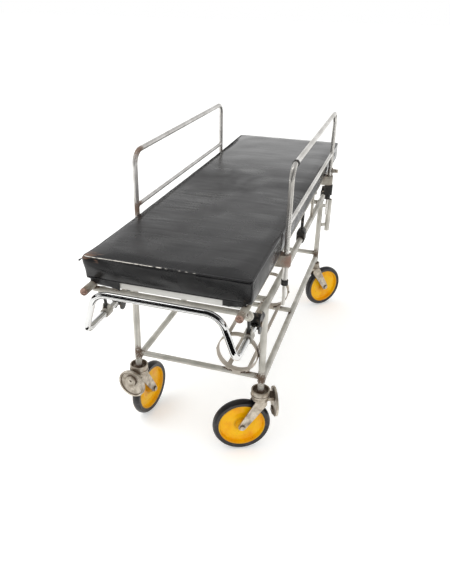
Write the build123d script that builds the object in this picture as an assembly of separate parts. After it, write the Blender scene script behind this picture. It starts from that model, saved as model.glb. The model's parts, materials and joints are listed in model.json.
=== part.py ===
from build123d import *
import os

# Patient trolley: a welded tube base on swivel castors, a stretcher top with a padded mattress,
# cot sides that drop in sockets, folding push handles and a cradle for a gas cylinder.
# Millimetres. +X is the trolley's right, -Y its front end, +Z up.
# The origin is on the floor under the middle of the trolley.

# Clearances
running_fit = 0.05        # radial, a pin or shaft turning in its bore
sliding_fit = 0.3         # radial, a cot post in its socket
side_play = 0.6           # beside a part that swings in a fork or clevis
cope_set = 4.0            # a coped tube end stops this far short of the other tube's axis

# Base frame
frame_tube_d = 25.4
frame_tube_wall = 1.6
cross_tube_d = 22.2
cross_tube_wall = 1.5
leg_inset = 2.0           # legs inside the line of the poles
leg_y = 613.0             # half the distance between front and rear legs
lower_rail_gap = 33.5     # lower rail's axis above the castor heads
frame_height = 332.0      # from the lower rails to the upper rails
upper_rail_overhang = 104.0   # past the legs, at each end
upper_crossbar_inset = 45.0   # from the legs towards the middle
middle_crossbar_y = -72.0

# Gas cylinder cradle
ring_bore_d = 152.0
ring_strip = 4.0
ring_width = 25.0
ring_inset = 96.0         # ring's axis from the right legs towards the middle
ring_foot = 34.0          # length of the saddle foot along the crossbar
cradle_bar_width = 18.0
cradle_bar_thickness = 4.0
cradle_bar_angles = (118.0, 244.0, 302.0)   # degrees round the ring, from +X

# Drip-pole socket
drip_bore_d = 20.4
drip_wall = 2.5
drip_depth = 170.0
drip_floor = 6.0
drip_behind = 29.0        # socket's axis behind the leg
drip_clear = 5.0          # between a pole in the socket and the mattress
drip_strap_height = 16.0
drip_strap_thickness = 6.0
drip_strap_inset = 34.0   # from the ends of the socket tube

# Stretcher top
pole_d = 25.4
pole_wall = 1.6
pole_inset = 24.0         # pole's axis inside the mattress edge
pole_rise = 140.0         # pole's axis above the upper rail's
pole_projection = 62.0    # past the deck, at each end
plug_dome = 6.0
plug_rounding = 0.8       # share of the dome's height that is rounded
plug_spigot = 18.0
deck_bar_d = 19.0
deck_bar_wall = 1.5
deck_bar_overhang = 6.0   # past the pole's axis
deck_end_bar_inset = 11.0
deck_middle_bar_y = 360.0
deck_thickness = 9.0
deck_overlap = 5.0        # past the crown of the pole
deck_rail_height = 22.0   # the strip along each end of the deck
deck_rail_thickness = 3.0
deck_rail_gap = 2.0       # from the strip to the poles
pillar_d = 14.0
pillar_y = 304.0
rest_y = 48.0
rest_length = 40.0
rest_wall = 5.5
rest_height = 48.0        # above the rail's axis

# Mattress
mattress_length = 1830.0
mattress_width = 562.0
mattress_thickness = 84.0
mattress_crown = 6.0
mattress_end_crown = 3.0
mattress_overhang = 9.0   # past the deck, at each end
mattress_draw_in = 4.0

# Cot sides
cot_gap = 2.5             # between a post and the mattress edge
cot_tube_d = 19.0
cot_tube_wall = 1.5
cot_front_inset = 131.0   # front post from the front legs
cot_rear_inset = 51.0     # rear post from the rear legs
cot_height = 307.3        # top bar above the deck
cot_bend_r = 50.0
cot_lower_bar_d = 16.0
cot_lower_bar_rise = 102.3    # lower bar above the deck
cot_post_drop = 109.0     # post's end below the pole's axis
cot_rod_d = 13.0
cot_rod_length = 89.0     # rod below the post
cot_rod_seat = 30.0       # length of rod inside the post
ferrule_d = 26.0
ferrule_height = 20.0
ferrule_lip = 4.0
buffer_d = 42.0
buffer_height = 52.0
buffer_gap = 1.0          # under the socket
band_d = 24.0
band_length = 14.0

# Cot sockets and latches
socket_wall = 8.0
socket_height = 46.0
socket_below_crown = 2.7  # socket top below the top of the pole
socket_foot = 40.0        # length along the pole
latch_boss_d = 20.0
latch_boss_length = 16.0
latch_pin_d = 8.0
latch_tip_gap = 0.6
latch_face_gap = 0.4
latch_knob_d = 18.0
latch_knob_length = 13.0
latch_knob_round = 3.25
latch_rise = 27.0         # latch axis above the socket top
latch_tower = 40.0        # height of the half sleeve that carries the latch
latch_tower_wall = 4.0
latch_boss_gap = 0.8      # between a post and the boss

# Push handles
handle_tube_d = 22.2
handle_tube_wall = 1.6
handle_pivot_gap = 27.0   # pivot beyond the rail's end
handle_clear = 7.0        # lower bend beyond the poles' plugs
handle_bar_forward = 13.0 # lower bend to the bar
handle_bar_rise = 157.0
handle_bar_inset = 50.0   # upper bend inside the arm
handle_lower_bend_r = 36.0
handle_upper_bend_r = 64.0
handle_eye_d = 24.0       # the solid eye that the pivot bolt passes through
handle_eye_width = 23.0
handle_bolt_d = 10.0
bracket_width = 35.0
bracket_length = 40.0
bracket_height = 74.0
bracket_socket = 34.0     # length of rail inside the bracket
bracket_socket_d = 33.0
set_screw_d = 9.0
set_screw_head_d = 18.0
bolt_head_d = 21.0
bolt_nut_d = 19.0
bolt_head_height = 5.0

# Lock levers on the handle arms
collar_y = 93.0           # from the pivot, along the arm
collar_wall = 5.0
collar_length = 34.0
lever_hub_d = 14.0
lever_hub_width = 12.0
lever_lug = 4.0
lever_pin_d = 6.0
lever_rise_gap = 1.0
lever_stem_d = 11.0
lever_lean = 15.0         # ball ahead of its pivot
lever_rise = 63.0         # ball above its pivot
lever_ball_d = 34.0

# Castors
wheel_d = 228.6
tyre_width = 34.0
tyre_shoulder = 8.0       # depth of the rounded tread
tyre_depth = 22.3         # from the tread to the rim
rim_thickness = 4.0
rim_width = 28.0
web_thickness = 4.0
web_bead = 3.0            # height of the ring pressed in the web
web_bead_width = 16.0
hub_d = 42.0
hub_length = 40.0
axle_d = 12.0
axle_head_d = 21.0
axle_head_height = 7.0
trail = 70.0
fork_gap = 5.0            # between tyre and fork arm
fork_plate = 5.0
fork_eye_d = 30.0
fork_shoulder_d = 46.0
fork_crown_height = 15.0
fork_crown_gap = 3.4      # crown above the tyre
front_crown_d = 68.0
rear_crown_d = 56.0
king_pin_d = 16.0
king_pin_length = 18.0
swivel_gap = 1.5          # between fork crown and head
race_height = 7.0
race_lip = 2.0            # race beyond the head
front_head_d = 72.0
rear_head_d = 48.0
head_height = 26.0
head_wall = 5.0
head_recess = 12.0
head_spigot = 24.0

# Foot brakes
brake_pivot_ahead = 10.0  # pivot ahead of the crown's edge
brake_pin_d = 8.0
brake_lug_r = 7.0
brake_lug_plate = 5.0
brake_hub_d = 15.0
brake_hub_width = 34.0
brake_plate = 4.5
brake_plate_gap = 8.5     # pivot to the back of the plate
brake_dish_d = 118.0
brake_dish_drop = 26.0    # the dish's centre below the pivot
brake_rim = 6.5
brake_rim_height = 4.0
brake_boss_d = 42.0
brake_boss_height = 9.0
brake_boss_drop = 9.0     # the boss's centre below the pivot
brake_dimple_d = 11.0
brake_dimple_depth = 3.0
brake_shoe_drop = 68.0    # the shoe's middle below the pivot
brake_shoe_depth = 5.7
brake_shoe_width = 30.0
brake_shoe_height = 22.0

# The direction in which each castor's wheel trails, in degrees from +X
front_left_angle = 82.5
front_right_angle = 205.0
rear_left_angle = 132.0
rear_right_angle = 48.0
castor_angles = {
    "front_left": front_left_angle,
    "front_right": front_right_angle,
    "rear_left": rear_left_angle,
    "rear_right": rear_right_angle,
}
sides = {"left": -1, "right": 1}
ends = {"front": -1, "rear": 1}

# Heights and places that follow from the sizes above
frame_r = frame_tube_d / 2
cross_r = cross_tube_d / 2
pole_r = pole_d / 2
cot_r = cot_tube_d / 2
handle_r = handle_tube_d / 2
wheel_r = wheel_d / 2
tyre_seat_r = wheel_r - tyre_depth
crown_z = wheel_d + fork_crown_gap
crown_top_z = crown_z + fork_crown_height
head_z = crown_top_z + swivel_gap
head_top_z = head_z + head_height
leg_foot_z = head_top_z - head_recess
lower_rail_z = head_top_z + lower_rail_gap
upper_rail_z = lower_rail_z + frame_height
upper_rail_half = leg_y + upper_rail_overhang
pole_x = mattress_width / 2 - pole_inset
pole_z = upper_rail_z + pole_rise
leg_x = pole_x - leg_inset
crossbar_z = lower_rail_z + frame_r + cross_r
ring_x = leg_x - ring_inset
ring_r = ring_bore_d / 2 + ring_strip
ring_z = crossbar_z + cross_r + ring_r
deck_half_length = mattress_length / 2 - mattress_overhang
deck_end_bar_y = deck_half_length - deck_end_bar_inset
deck_bar_z = pole_z - pole_r - deck_bar_d / 2
deck_top_z = pole_z + pole_r + deck_thickness
pole_half_length = deck_half_length + pole_projection
cot_x = mattress_width / 2 + cot_gap + cot_r
cot_front_y = cot_front_inset - leg_y
cot_rear_y = leg_y - cot_rear_inset
cot_top_z = deck_top_z + cot_height
cot_lower_bar_z = deck_top_z + cot_lower_bar_rise
cot_post_end_z = pole_z - cot_post_drop
cot_rod_end_z = cot_post_end_z - cot_rod_length
socket_top_z = pole_z + pole_r - socket_below_crown
socket_r = cot_r + sliding_fit + socket_wall
latch_z = socket_top_z + latch_rise
latch_face = cot_x + cot_r + latch_boss_gap + latch_boss_length
handle_eye_r = handle_eye_d / 2
handle_z = upper_rail_z
handle_pivot_y = upper_rail_half + handle_pivot_gap
handle_reach = pole_half_length + plug_dome + handle_clear - handle_pivot_y
handle_bar_half = leg_x - handle_bar_inset
collar_r = handle_r + collar_wall
lever_z = handle_z + collar_r + lever_hub_d / 2 + lever_rise_gap
drip_x = mattress_width / 2 + drip_clear + drip_bore_d / 2
drip_y = leg_y + drip_behind
drip_top_z = upper_rail_z
arm_y = tyre_width / 2 + fork_gap


# Shapes that repeat

def rod(start, end, diameter):
    axis = Vector(*end) - Vector(*start)
    return extrude(Plane(origin=start, z_dir=axis) * Circle(diameter / 2), axis.length)


def tube(start, end, diameter, wall):
    axis = Vector(*end) - Vector(*start)
    ring = Circle(diameter / 2) - Circle(diameter / 2 - wall)
    return extrude(Plane(origin=start, z_dir=axis) * ring, axis.length)


def bent_tube(points, bend_radii, diameter, wall):
    path = FilletPolyline(*points, radius=bend_radii)
    ring = Circle(diameter / 2) - Circle(diameter / 2 - wall)
    return sweep(Plane(origin=path @ 0, z_dir=path % 0) * ring, path=path)


def block(low, high):
    size = [b - a for a, b in zip(low, high)]
    middle = [(a + b) / 2 for a, b in zip(low, high)]
    return Pos(*middle) * Box(*size)


def round_link(plane, first, first_r, second, second_r, thickness):
    """A plate whose outline is the hull of two circles, centred on the plane."""
    rounds = Pos(*first) * Circle(first_r), Pos(*second) * Circle(second_r)
    outline = make_hull(rounds[0].edges() + rounds[1].edges())
    return extrude(plane * outline, thickness / 2, both=True)


def save(node, *solids):
    shape = solids[0] if len(solids) == 1 else Compound(children=list(solids))
    export_step(shape, f"parts/{node}.step")


# Base frame

def leg(side, end):
    x = side * leg_x
    y = end * leg_y
    rail = rod((x, y - frame_tube_d, upper_rail_z), (x, y + frame_tube_d, upper_rail_z), frame_tube_d)
    return tube((x, y, leg_foot_z), (x, y, upper_rail_z - cope_set), frame_tube_d, frame_tube_wall) - rail


def leg_core(side, end):
    """The space inside a leg's outside surface, for cutting the tubes that meet it."""
    x = side * leg_x
    y = end * leg_y
    return rod((x, y, leg_foot_z), (x, y, upper_rail_z), frame_tube_d)


def upper_rail(side):
    x = side * leg_x
    return tube((x, -upper_rail_half, upper_rail_z), (x, upper_rail_half, upper_rail_z),
                frame_tube_d, frame_tube_wall)


def upper_rail_core(side):
    x = side * leg_x
    return rod((x, -upper_rail_half, upper_rail_z), (x, upper_rail_half, upper_rail_z), frame_tube_d)


def lower_rail(side):
    x = side * leg_x
    y = leg_y - cope_set
    rail = tube((x, -y, lower_rail_z), (x, y, lower_rail_z), frame_tube_d, frame_tube_wall)
    return rail - leg_core(side, -1) - leg_core(side, 1)


def upper_crossbar(end):
    x = leg_x - cope_set
    y = end * (leg_y - upper_crossbar_inset)
    bar = tube((-x, y, upper_rail_z), (x, y, upper_rail_z), cross_tube_d, cross_tube_wall)
    return bar - upper_rail_core(-1) - upper_rail_core(1)


def lower_crossbar(end):
    x = leg_x - cope_set
    y = end * leg_y
    bar = tube((-x, y, crossbar_z), (x, y, crossbar_z), cross_tube_d, cross_tube_wall)
    return bar - leg_core(-1, end) - leg_core(1, end)


def middle_crossbar():
    return tube((-leg_x, middle_crossbar_y, crossbar_z), (leg_x, middle_crossbar_y, crossbar_z),
                cross_tube_d, cross_tube_wall)


# Gas cylinder cradle

def cylinder_ring(y):
    """A hoop of flat strip on a saddle foot that sits on the crossbar."""
    face = Plane(origin=(ring_x, y, ring_z), z_dir=(0, 1, 0))
    hoop = extrude(face * Circle(ring_r), ring_width / 2, both=True)
    foot = block((ring_x - ring_foot / 2, y - ring_width / 2, crossbar_z),
                 (ring_x + ring_foot / 2, y + ring_width / 2, ring_z - ring_r + ring_strip))
    bar = rod((ring_x - ring_foot, y, crossbar_z), (ring_x + ring_foot, y, crossbar_z), cross_tube_d)
    bore = extrude(face * Circle(ring_bore_d / 2), ring_width, both=True)
    return hoop + foot - bar - bore


def cradle_bar(angle):
    """A flat bar laid along the outside of both rings."""
    front = -leg_y - ring_width / 2
    back = middle_crossbar_y + ring_width / 2
    half = cradle_bar_width / 2
    bar = block((ring_r, front, -half), (ring_r + cradle_bar_thickness, back, half))
    return Pos(ring_x, 0, ring_z) * Rot(0, -angle, 0) * bar


# Drip-pole socket beside the right rear leg

def drip_strap(z):
    """A flat strap from the leg to the socket tube."""
    leg_axis = Vector(leg_x, leg_y, z)
    socket_axis = Vector(drip_x, drip_y, z)
    plane = Plane(origin=(leg_axis + socket_axis) / 2, x_dir=socket_axis - leg_axis, z_dir=(0, 0, 1))
    length = (socket_axis - leg_axis).length
    return extrude(plane * Rectangle(length, drip_strap_thickness), drip_strap_height / 2, both=True)


def drip_pole_socket():
    outer_d = drip_bore_d + 2 * drip_wall
    bottom = drip_top_z - drip_depth - drip_floor
    body = rod((drip_x, drip_y, bottom), (drip_x, drip_y, drip_top_z), outer_d)
    body += drip_strap(drip_top_z - drip_strap_inset) + drip_strap(bottom + drip_strap_inset)
    above = drip_top_z + drip_depth
    bore = rod((drip_x, drip_y, bottom + drip_floor), (drip_x, drip_y, above), drip_bore_d)
    return body - bore - leg_core(1, 1)


# Stretcher top

def pole_core(side):
    x = side * pole_x
    return rod((x, -pole_half_length, pole_z), (x, pole_half_length, pole_z), pole_d)


def pole(side):
    x = side * pole_x
    return tube((x, -pole_half_length, pole_z), (x, pole_half_length, pole_z), pole_d, pole_wall)


def pole_end_plug(side, end):
    """A domed plug whose spigot fills the end of the pole."""
    mouth = Plane(origin=(side * pole_x, end * pole_half_length, pole_z), z_dir=(0, end, 0))
    dome = extrude(mouth * Circle(pole_r), plug_dome)
    rim = dome.edges().filter_by(GeomType.CIRCLE).sort_by(Axis.Y)[-1 if end > 0 else 0]
    spigot = extrude(mouth * Circle(pole_r - pole_wall), -plug_spigot)
    return fillet(rim, plug_dome * plug_rounding) + spigot


def deck_crossbar(y):
    x = pole_x + deck_bar_overhang
    return tube((-x, y, deck_bar_z), (x, y, deck_bar_z), deck_bar_d, deck_bar_wall)


def deck_board():
    """A flat board laid on the poles."""
    x = pole_x + deck_overlap
    return block((-x, -deck_half_length, deck_top_z - deck_thickness), (x, deck_half_length, deck_top_z))


def deck_end_strip(end):
    """A strip across the end of the board, hanging between the poles."""
    x = pole_x - pole_r - deck_rail_gap
    low_y, high_y = sorted((end * deck_half_length, end * (deck_half_length + deck_rail_thickness)))
    return block((-x, low_y, deck_top_z - deck_rail_height), (x, high_y, deck_top_z))


def pole_pillar(side, y):
    """A post from the base rail up to the pole, hollowed at both ends to seat on them."""
    x = side * (leg_x + pole_x) / 2
    post = rod((x, y, upper_rail_z), (x, y, pole_z), pillar_d)
    return post - upper_rail_core(side) - pole_core(side)


def middle_rest(side):
    """A clamp block round the base rail, with a post up to the pole."""
    x = side * leg_x
    r = frame_r + rest_wall
    ring = round_link(Plane(origin=(x, rest_y, 0), x_dir=(1, 0, 0), z_dir=(0, 1, 0)),
                      (0, -upper_rail_z), r, (0, -upper_rail_z - rest_height + r), r, rest_length)
    return ring + pole_pillar(side, rest_y) - upper_rail_core(side)


def mattress_section(y, half_width, crown):
    """A cross-section: flat below, sides drawn in between the piped edges, top crowned."""
    low = deck_top_z
    high = deck_top_z + mattress_thickness - mattress_crown
    middle = (low + high) / 2
    base = Line((-half_width, low), (half_width, low))
    right = ThreePointArc((half_width, low), (half_width - mattress_draw_in, middle), (half_width, high))
    top = ThreePointArc((half_width, high), (0, high + crown), (-half_width, high))
    left = ThreePointArc((-half_width, high), (mattress_draw_in - half_width, middle), (-half_width, low))
    plane = Plane(origin=(0, y, 0), x_dir=(1, 0, 0), z_dir=(0, -1, 0))
    return plane * make_face(base + right + top + left)


def mattress():
    half = mattress_width / 2
    return loft([
        mattress_section(-mattress_length / 2, half, mattress_end_crown),
        mattress_section(0, half - mattress_draw_in, mattress_crown),
        mattress_section(mattress_length / 2, half, mattress_end_crown),
    ])


# Cot sides, drawn on the right and mirrored for the left

def cot_frame():
    """The bent hoop, with a thinner rod set in the lower end of each post."""
    corners = [(cot_x, cot_front_y, cot_post_end_z), (cot_x, cot_front_y, cot_top_z),
               (cot_x, cot_rear_y, cot_top_z), (cot_x, cot_rear_y, cot_post_end_z)]
    hoop = bent_tube(corners, [cot_bend_r, cot_bend_r], cot_tube_d, cot_tube_wall)
    for y in (cot_front_y, cot_rear_y):
        seat_z = cot_post_end_z + cot_rod_seat
        hoop += rod((cot_x, y, cot_post_end_z), (cot_x, y, seat_z), cot_tube_d - cot_tube_wall)
        hoop += rod((cot_x, y, cot_rod_end_z), (cot_x, y, seat_z), cot_rod_d)
    return hoop


def cot_lower_bar():
    front = (cot_x, cot_front_y + cope_set, cot_lower_bar_z)
    rear = (cot_x, cot_rear_y - cope_set, cot_lower_bar_z)
    bar = tube(front, rear, cot_lower_bar_d, cot_tube_wall)
    for y in (cot_front_y, cot_rear_y):
        bar -= rod((cot_x, y, cot_post_end_z), (cot_x, y, cot_top_z), cot_tube_d)
    return bar


def cot_ferrule(y):
    """A cap over the end of a post, open for the rod."""
    bottom = cot_post_end_z - ferrule_lip
    cap = rod((cot_x, y, bottom), (cot_x, y, bottom + ferrule_height), ferrule_d)
    cap -= rod((cot_x, y, cot_post_end_z), (cot_x, y, cot_top_z), cot_tube_d)
    return cap - rod((cot_x, y, cot_rod_end_z), (cot_x, y, cot_top_z), cot_rod_d)


def cot_buffer():
    """A sleeve on the rear post that stops under the socket when the side is up."""
    top = socket_top_z - socket_height - buffer_gap
    wall = (buffer_d - cot_tube_d) / 2
    return tube((cot_x, cot_rear_y, top - buffer_height), (cot_x, cot_rear_y, top), buffer_d, wall)


def cot_band():
    """A band round the top bar, behind its front bend."""
    front = cot_front_y + cot_bend_r
    wall = (band_d - cot_tube_d) / 2
    return tube((cot_x, front, cot_top_z), (cot_x, front + band_length, cot_top_z), band_d, wall)


def cot_socket(y, latched):
    """A casting saddled on the pole and bored for a post; the rear one also carries the latch."""
    bottom = socket_top_z - socket_height
    foot = Pos(pole_x + pole_r / 2, y) * Rectangle(pole_r, socket_foot)
    eye = Pos(cot_x, y) * Circle(socket_r)
    body = extrude(Pos(0, 0, bottom) * make_hull(foot.edges() + eye.edges()), socket_height)
    if latched:
        body += latch_housing(y)
    body -= rod((cot_x, y, bottom - socket_height), (cot_x, y, cot_top_z), cot_tube_d + 2 * sliding_fit)
    body -= pole_core(1)
    if latched:
        outside = latch_face + latch_boss_length
        body -= rod((cot_x, y, latch_z), (outside, y, latch_z), latch_pin_d + 2 * running_fit)
    return body


def latch_housing(y):
    """A half sleeve behind the post, clear of the lower bar's path, with a boss for the plunger."""
    sleeve_r = cot_r + sliding_fit + latch_tower_wall
    top = socket_top_z + latch_tower
    behind = block((mattress_width / 2 + side_play, y, socket_top_z), (cot_x + sleeve_r, y + sleeve_r, top))
    sleeve = rod((cot_x, y, socket_top_z), (cot_x, y, top), 2 * sleeve_r) & behind
    boss_start = cot_x + cot_r + latch_boss_gap
    return sleeve + rod((boss_start, y, latch_z), (latch_face, y, latch_z), latch_boss_d)


def latch_plunger():
    """A pin through the boss, its tip just clear of the post, with a rounded pull knob."""
    z = latch_z
    tip = cot_x + cot_r + latch_tip_gap
    face = latch_face + latch_face_gap
    pin = rod((tip, cot_rear_y, z), (face, cot_rear_y, z), latch_pin_d)
    knob = rod((face, cot_rear_y, z), (face + latch_knob_length, cot_rear_y, z), latch_knob_d)
    rims = knob.edges().filter_by(GeomType.CIRCLE)
    return pin + fillet(rims, latch_knob_round)


# Push handles, drawn at the front and mirrored for the rear

def push_handle():
    bend_y = -handle_pivot_y - handle_reach
    bar_y = bend_y - handle_bar_forward
    bar_z = handle_z + handle_bar_rise
    points = [
        (leg_x, -handle_pivot_y, handle_z), (leg_x, bend_y, handle_z), (handle_bar_half, bar_y, bar_z),
        (-handle_bar_half, bar_y, bar_z), (-leg_x, bend_y, handle_z), (-leg_x, -handle_pivot_y, handle_z),
    ]
    bends = [handle_lower_bend_r, handle_upper_bend_r, handle_upper_bend_r, handle_lower_bend_r]
    handle = bent_tube(points, bends, handle_tube_d, handle_tube_wall)
    for x in (-leg_x, leg_x):
        left = (x - handle_eye_width / 2, -handle_pivot_y, handle_z)
        right = (x + handle_eye_width / 2, -handle_pivot_y, handle_z)
        handle += rod(left, right, handle_eye_d)
        handle -= rod(left, right, handle_bolt_d + 2 * running_fit)
    return handle


def handle_bracket(side):
    """A socket on the end of the base rail, with a tall clevis for the handle's arm."""
    x = side * leg_x
    plane = Plane(origin=(x, -handle_pivot_y, upper_rail_z), x_dir=(0, 1, 0), z_dir=(1, 0, 0))
    end_r = bracket_length / 2
    end_z = bracket_height / 2 - end_r
    body = round_link(plane, (0, end_z), end_r, (0, -end_z), end_r, bracket_width)
    body += rod((x, -handle_pivot_y, upper_rail_z), (x, bracket_socket - upper_rail_half, upper_rail_z),
                bracket_socket_d)
    body -= upper_rail_core(side)
    half_slot = handle_eye_width / 2 + side_play
    eye_room = handle_eye_r + side_play
    body -= block((x - half_slot, -handle_pivot_y - handle_reach, handle_z - handle_reach),
                  (x + half_slot, -handle_pivot_y + eye_room, handle_z + eye_room))
    left = (x - bracket_width, -handle_pivot_y, handle_z)
    right = (x + bracket_width, -handle_pivot_y, handle_z)
    body -= rod(left, right, handle_bolt_d + 2 * running_fit)
    y = bracket_socket / 2 - upper_rail_half
    above = (x, y, upper_rail_z + bracket_height)
    return body - rod((x, y, upper_rail_z), above, set_screw_d + 2 * running_fit)


def set_screw(x):
    """A screw through the socket's roof that grips the rail."""
    y = bracket_socket / 2 - upper_rail_half
    seat_z = upper_rail_z + bracket_socket_d / 2
    head = rod((x, y, seat_z), (x, y, seat_z + bolt_head_height), set_screw_head_d)
    return head + rod((x, y, upper_rail_z + frame_r), (x, y, seat_z), set_screw_d)


def pivot_bolt(x):
    """A bolt across a bracket, with a round head and a smaller nut outside it."""
    y = -handle_pivot_y
    inner = bracket_width / 2
    outer = inner + bolt_head_height
    bolt = rod((x - outer, y, handle_z), (x + outer, y, handle_z), handle_bolt_d)
    for sign, diameter in ((-1, bolt_head_d), (1, bolt_nut_d)):
        bolt += rod((x + sign * inner, y, handle_z), (x + sign * outer, y, handle_z), diameter)
    return bolt


def handle_collar(x):
    """A collar on the arm with two lugs and a pin for the lock lever."""
    y = -handle_pivot_y - collar_y
    collar = rod((x, y - collar_length / 2, handle_z), (x, y + collar_length / 2, handle_z), 2 * collar_r)
    for sign in (-1, 1):
        centre = x + sign * (lever_hub_width / 2 + side_play + lever_lug / 2)
        plane = Plane(origin=(centre, y, 0), x_dir=(0, 1, 0), z_dir=(1, 0, 0))
        collar += round_link(plane, (0, handle_z), lever_hub_d, (0, lever_z), lever_hub_d / 2, lever_lug)
    reach = lever_hub_width / 2 + side_play + lever_lug
    collar += rod((x - reach, y, lever_z), (x + reach, y, lever_z), lever_pin_d)
    arm = rod((x, y - handle_reach, handle_z), (x, y + handle_reach, handle_z), handle_tube_d)
    return collar - arm


def lock_lever(x):
    """A hub on the collar's pin, a stem that leans forward and a ball knob."""
    y = -handle_pivot_y - collar_y
    pivot = (x, y, lever_z)
    ball = (x, y - lever_lean, lever_z + lever_rise)
    lever = rod((x - lever_hub_width / 2, y, lever_z), (x + lever_hub_width / 2, y, lever_z), lever_hub_d)
    lever += rod(pivot, ball, lever_stem_d) + Pos(*ball) * Sphere(lever_ball_d / 2)
    return lever - rod((x - lever_hub_width, y, lever_z), (x + lever_hub_width, y, lever_z),
                       lever_pin_d + 2 * running_fit)


# Castors, drawn at the origin with the wheel trailing along +X

def castor_head(head_d):
    """A cup that the leg stands in, with the swivel race below and a spigot inside the leg."""
    head_r = head_d / 2
    bore_r = king_pin_d / 2 + running_fit
    spigot_r = frame_r - frame_tube_wall
    race_top = head_z + race_height
    bore_top = head_z + king_pin_length
    profile = Polyline(
        (bore_r, head_z), (head_r + race_lip, head_z), (head_r + race_lip, race_top), (head_r, race_top),
        (head_r, head_top_z), (head_r - head_wall, head_top_z), (head_r - head_wall, leg_foot_z),
        (spigot_r, leg_foot_z), (spigot_r, leg_foot_z + head_spigot), (0, leg_foot_z + head_spigot),
        (0, bore_top), (bore_r, bore_top), close=True)
    return revolve(Plane.XZ * make_face(profile), Axis.Z)


def fork_arm(y):
    plane = Plane(origin=(0, y, 0), x_dir=(1, 0, 0), z_dir=(0, -1, 0))
    shoulder_r = fork_shoulder_d / 2
    shoulder = (0, crown_top_z - shoulder_r)
    return round_link(plane, shoulder, shoulder_r, (trail, wheel_r), fork_eye_d / 2, fork_plate)


def castor_fork(crown_d):
    """Two tapering arms under a round crown, with the king pin that turns in the head."""
    fork = rod((0, 0, crown_z), (0, 0, crown_top_z), crown_d)
    fork += rod((0, 0, crown_z), (0, 0, head_z + king_pin_length - swivel_gap), king_pin_d)
    centre = arm_y + fork_plate / 2
    fork += fork_arm(centre) + fork_arm(-centre)
    return fork - axle_core(axle_d + 2 * running_fit)


def axle_core(diameter):
    reach = arm_y + 2 * fork_plate
    return rod((trail, -reach, wheel_r), (trail, reach, wheel_r), diameter)


def axle_bolt():
    """A plain shank with a hexagon head at one end and a hexagon nut at the other."""
    seat = arm_y + fork_plate
    end = seat + axle_head_height
    bolt = rod((trail, -end, wheel_r), (trail, end, wheel_r), axle_d)
    for sign in (-1, 1):
        plane = Plane(origin=(trail, sign * seat, wheel_r), z_dir=(0, sign, 0))
        bolt += extrude(plane * RegularPolygon(axle_head_d / 2, 6), axle_head_height)
    return bolt


def wheel_plane():
    return Plane(origin=(trail, 0, wheel_r), x_dir=(1, 0, 0), z_dir=(0, 0, 1))


def turned(profile):
    """A piece of the wheel: radius along X, width along Y, turned about the axle."""
    return wheel_plane() * revolve(make_face(profile), Axis.Y)


def tyre():
    seat_r = tyre_seat_r
    half = tyre_width / 2
    shoulder_r = wheel_r - tyre_shoulder
    rim = rim_width / 2
    walls = Polyline((shoulder_r, -half), (seat_r, -rim), (seat_r, rim), (shoulder_r, half))
    tread = ThreePointArc((shoulder_r, half), (wheel_r, 0), (shoulder_r, -half))
    return turned(walls + tread)


def wheel_centre():
    """A pressed disc with a raised ring, between a flanged rim and a hub."""
    seat_r = tyre_seat_r
    rim_r = seat_r - rim_thickness
    hub_r = hub_d / 2
    bore_r = axle_d / 2 + running_fit
    web = web_thickness / 2
    bead_r = (hub_r + rim_r) / 2
    hub = hub_length / 2
    rim = rim_width / 2
    upper = [
        (bore_r, hub), (hub_r - web_thickness, hub), (hub_r, hub - web_thickness),
        (hub_r + web_thickness, web), (bead_r - web_bead_width, web), (bead_r, web + web_bead),
        (bead_r + web_bead_width, web), (rim_r - web_thickness, web), (rim_r, rim), (seat_r, rim),
    ]
    lower = [(r, -y) for r, y in reversed(upper)]
    return turned(Polyline(*upper, *lower, close=True))


def brake_pivot():
    """The brake's pivot, ahead of the crown, as local X and Z."""
    return -front_crown_d / 2 - brake_pivot_ahead, crown_z + fork_crown_height / 2


def brake_lugs():
    """Two lugs on the crown with the pin that the brake pedal turns on."""
    x, z = brake_pivot()
    inner = brake_hub_width / 2 + side_play
    reach = inner + brake_lug_plate
    lugs = rod((x, -reach, z), (x, reach, z), brake_pin_d)
    for sign in (-1, 1):
        y = sign * (inner + brake_lug_plate / 2)
        plane = Plane(origin=(0, y, 0), x_dir=(1, 0, 0), z_dir=(0, -1, 0))
        lugs += round_link(plane, (x, z), brake_lug_r, (0, z), brake_lug_r, brake_lug_plate)
    return lugs


def brake_pedal():
    """A round dished foot plate on a hub, with a foot boss in front and a brake shoe behind."""
    x, z = brake_pivot()
    back = x - brake_plate_gap
    front = back - brake_plate
    dish_z = z - brake_dish_drop
    pedal = rod((back, 0, dish_z), (front, 0, dish_z), brake_dish_d)
    pedal += tube((back, 0, dish_z), (front - brake_rim_height, 0, dish_z), brake_dish_d, brake_rim)
    boss_z = z - brake_boss_drop
    boss_face = front - brake_boss_height
    pedal += rod((back, 0, boss_z), (boss_face, 0, boss_z), brake_boss_d)
    pedal -= rod((boss_face, 0, boss_z), (boss_face + brake_dimple_depth, 0, boss_z), brake_dimple_d)
    shoe_z = z - brake_shoe_drop
    pedal += block((back, -brake_shoe_width / 2, shoe_z - brake_shoe_height / 2),
                   (back + brake_shoe_depth, brake_shoe_width / 2, shoe_z + brake_shoe_height / 2))
    half = brake_hub_width / 2
    pedal += rod((x, -half, z), (x, half, z), brake_hub_d)
    pedal += block((back, -half, z - brake_hub_d / 2), (x, half, z + brake_hub_d / 2))
    return pedal - rod((x, -brake_hub_width, z), (x, brake_hub_width, z), brake_pin_d + 2 * running_fit)


def castor_frame(side, end, angle):
    return Pos(side * leg_x, end * leg_y, 0) * Rot(0, 0, angle)


def to_left(shape):
    return shape.mirror(Plane.YZ)


def to_rear(shape):
    return shape.mirror(Plane.XZ)


# Write every piece

os.makedirs("parts", exist_ok=True)

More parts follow.
